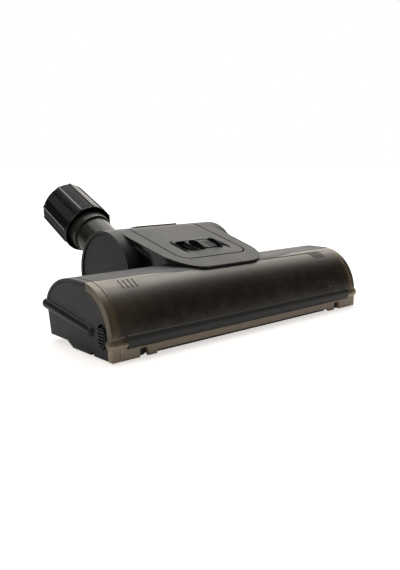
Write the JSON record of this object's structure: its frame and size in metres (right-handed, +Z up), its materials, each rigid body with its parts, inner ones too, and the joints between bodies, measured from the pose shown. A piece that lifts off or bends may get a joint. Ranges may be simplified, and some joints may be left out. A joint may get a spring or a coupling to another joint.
{
  "type": "vacuum turbo brush",
  "caption": "Air-driven floor brush head with a smoke hood, a bristle roll behind it, a turbine drum, and a tilting neck with a clamp nut for the cleaner's tube.",
  "frame": {"origin": "on the floor, in the middle of the whole footprint", "axes": "+X across the head, +Y from the hood to the neck, +Z up"},
  "size_m": [0.2776, 0.3036, 0.1098],
  "materials": {
    "black_abs": "fine-grained matt ABS",
    "grey_cover": "matt textured ABS",
    "smoke_clear": "smoke-brown translucent",
    "soft_black": "soft, half gloss",
    "olive_gloss": "polished dark moulding",
    "nut_black": "half-gloss ribbed moulding",
    "steel": "ground",
    "natural_plastic": "natural acetal",
    "roll_grey": "moulded",
    "bristle": "nylon filament",
    "tyre_black": "soft rubber",
    "felt_red": "short pile"
  },
  "bodies": {
    "head": {"base_housing": "black_abs", "rear_cover": "grey_cover", "hood": "smoke_clear", "front_bumper": "soft_black", "side_bumper_left": "soft_black", "side_bumper_right": "soft_black", "upper_housing": "grey_cover", "turbine_lid": "grey_cover", "end_disc_left": "black_abs", "end_disc_right": "black_abs", "bearing_plate": "black_abs", "latch_spring_left": "steel", "latch_spring_right": "steel", "brush_bearing_left": "natural_plastic", "brush_bearing_right": "natural_plastic", "drive_belt": "soft_black", "turbine_bearing_left": "steel", "turbine_bearing_right": "steel", "wheel_axle_left": "steel", "wheel_axle_right": "steel", "roller_pin_left": "steel", "roller_pin_right": "steel", "lint_strip": "felt_red", "screws": "steel"},
    "turbine": {"turbine_shaft": "steel", "turbine_impeller": "natural_plastic", "drive_pinion": "natural_plastic"},
    "brush_roll": {"brush_core": "roll_grey", "bristle_tufts": "bristle", "brush_shaft": "steel", "brush_pulley": "natural_plastic"},
    "neck_pivot": {"neck_barrel": "olive_gloss", "seal_ring": "soft_black"},
    "neck": {"neck_tube": "olive_gloss", "tube_collet": "nut_black"},
    "nut": {"clamp_nut": "nut_black"},
    "slider": {"air_slider": "nut_black"},
    "latch_left": {"latch_button_left": "nut_black"},
    "latch_right": {"latch_button_right": "nut_black"},
    "wheel_left": {"rear_wheel_left": "black_abs", "rear_tyre_left": "tyre_black"},
    "wheel_right": {"rear_wheel_right": "black_abs", "rear_tyre_right": "tyre_black"},
    "roller_left": {"front_roller_left": "nut_black"},
    "roller_right": {"front_roller_right": "nut_black"}
  },
  "joints": [
    {"name": "turbine_spin", "type": "hinge", "parent": "head", "child": "turbine", "pos_m": [0, -0.0299, 0.038], "axis": [1, 0, 0], "continuous": true},
    {"name": "brush_spin", "type": "hinge", "parent": "head", "child": "brush_roll", "pos_m": [0, -0.1164, 0.0225], "axis": [1, 0, 0], "continuous": true},
    {"name": "neck_pitch", "type": "hinge", "parent": "head", "child": "neck_pivot", "pos_m": [0, 0.0326, 0.0332], "axis": [1, 0, 0], "range_deg": [-18, 58]},
    {"name": "neck_swivel", "type": "hinge", "parent": "neck_pivot", "child": "neck", "pos_m": [0, 0.06855, 0.05074], "axis": [0, 0.8988, 0.4384], "continuous": true},
    {"name": "nut_twist", "type": "hinge", "parent": "neck", "child": "nut", "pos_m": [0, 0.11349, 0.07265], "axis": [0, 0.8988, 0.4384], "range_deg": [0, 60]},
    {"name": "air_slide", "type": "slide", "parent": "head", "child": "slider", "axis": [1, 0, 0], "range_m": [-0.0095, 0]},
    {"name": "latch_slide_left", "type": "slide", "parent": "head", "child": "latch_left", "axis": [0, 0, 1], "range_m": [0, 0.0022], "stiffness_N_per_m": 300, "deforming": ["latch_spring_left"]},
    {"name": "latch_slide_right", "type": "slide", "parent": "head", "child": "latch_right", "axis": [0, 0, 1], "range_m": [0, 0.0022], "stiffness_N_per_m": 300, "deforming": ["latch_spring_right"]},
    {"name": "wheel_spin_left", "type": "hinge", "parent": "head", "child": "wheel_left", "pos_m": [-0.0372, 0.0266, 0.012], "axis": [1, 0, 0], "continuous": true},
    {"name": "wheel_spin_right", "type": "hinge", "parent": "head", "child": "wheel_right", "pos_m": [0.0372, 0.0266, 0.012], "axis": [1, 0, 0], "continuous": true},
    {"name": "roller_spin_left", "type": "hinge", "parent": "head", "child": "roller_left", "pos_m": [-0.1015, -0.1406, 0.0044], "axis": [1, 0, 0], "continuous": true},
    {"name": "roller_spin_right", "type": "hinge", "parent": "head", "child": "roller_right", "pos_m": [0.1015, -0.1406, 0.0044], "axis": [1, 0, 0], "continuous": true}
  ],
  "couplings": [
    {"joint": "brush_spin", "follows": "turbine_spin", "ratio": 0.5}
  ]
}
